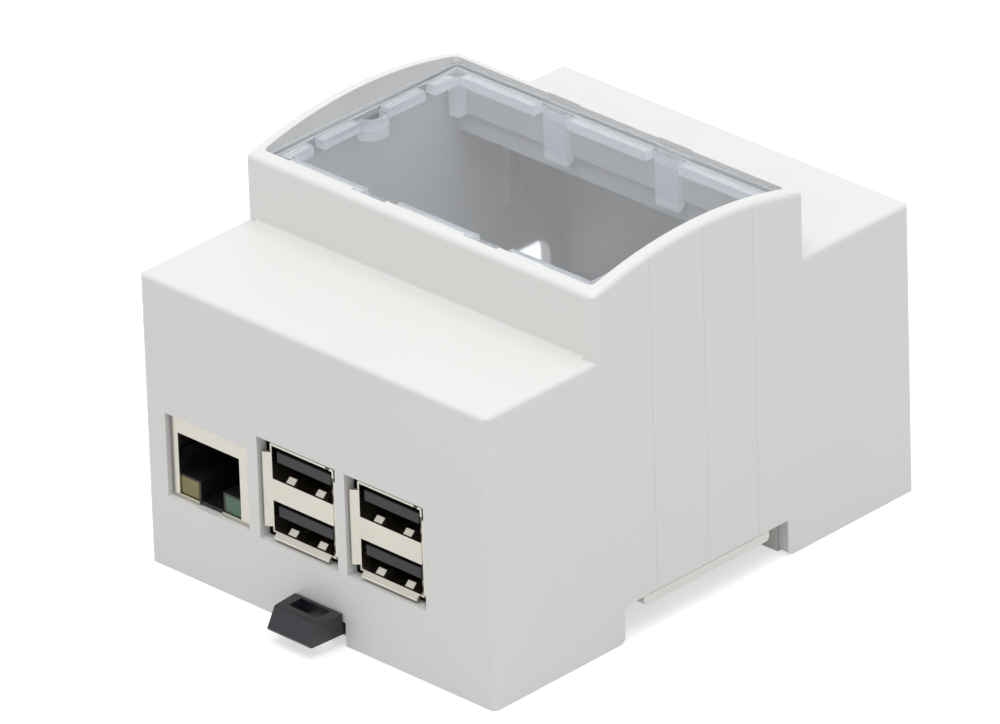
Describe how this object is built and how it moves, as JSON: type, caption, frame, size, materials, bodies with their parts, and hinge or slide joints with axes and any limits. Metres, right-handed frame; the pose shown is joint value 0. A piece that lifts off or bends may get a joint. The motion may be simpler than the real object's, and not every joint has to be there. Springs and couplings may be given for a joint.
{
  "type": "rail mounted circuit enclosure",
  "caption": "Stepped plastic enclosure that snaps onto a mounting rail and holds a small computer board, with socket cut-outs, a clear window between arched end walls and a sprung rail clip.",
  "frame": {"origin": "centre of the flat strip that seats on the mounting rail", "axes": "+X along the rail, +Y away from the socket face, +Z away from the rail towards the window"},
  "size_m": [0.071, 0.0972, 0.0621],
  "materials": {
    "cover": "moulded, very fine grain",
    "base": "moulded, very fine grain",
    "window": "clear and polished",
    "clip": "moulded, satin",
    "board": "solder resist, glossy",
    "screw": "zinc plated",
    "socket_metal": "nickel plated sheet",
    "connector_metal": "tin plated sheet",
    "dark_plastic": "moulded",
    "port_plastic": "moulded",
    "contact": "gold plated",
    "lamp_yellow": "translucent",
    "lamp_green": "translucent",
    "lamp_clear": "translucent",
    "chip": "moulded epoxy",
    "ribbon": "moulded",
    "can": "drawn",
    "ceramic": "fired ceramic"
  },
  "bodies": {
    "housing": {"upper_cover": "cover", "base": "base", "window_panel": "window", "circuit_board": "board", "board_screws": "screw", "network_shell": "socket_metal", "network_insert": "dark_plastic", "network_contacts": "contact", "network_lamp_left": "lamp_yellow", "network_lamp_right": "lamp_green", "left_port_shell": "socket_metal", "left_port_insert": "port_plastic", "left_port_contacts": "contact", "right_port_shell": "socket_metal", "right_port_insert": "port_plastic", "right_port_contacts": "contact", "video_shell": "connector_metal", "video_insert": "dark_plastic", "power_shell": "connector_metal", "power_insert": "dark_plastic", "audio_jack": "dark_plastic", "header_body": "dark_plastic", "header_pins": "contact", "processor_chip": "chip", "network_chip": "chip", "supply_chip": "chip", "camera_connector": "ribbon", "display_connector": "ribbon", "card_slot": "connector_metal", "supply_capacitor": "can", "clock_crystal": "connector_metal", "chip_capacitors": "ceramic", "status_lamps": "lamp_clear"},
    "clip": {"rail_clip": "clip"}
  },
  "joints": [
    {"name": "clip_pull", "type": "slide", "parent": "housing", "child": "clip", "axis": [0, -1, 0], "range_m": [0, 0.004], "stiffness_N_per_m": 2500, "springref_m": -0.0005}
  ]
}
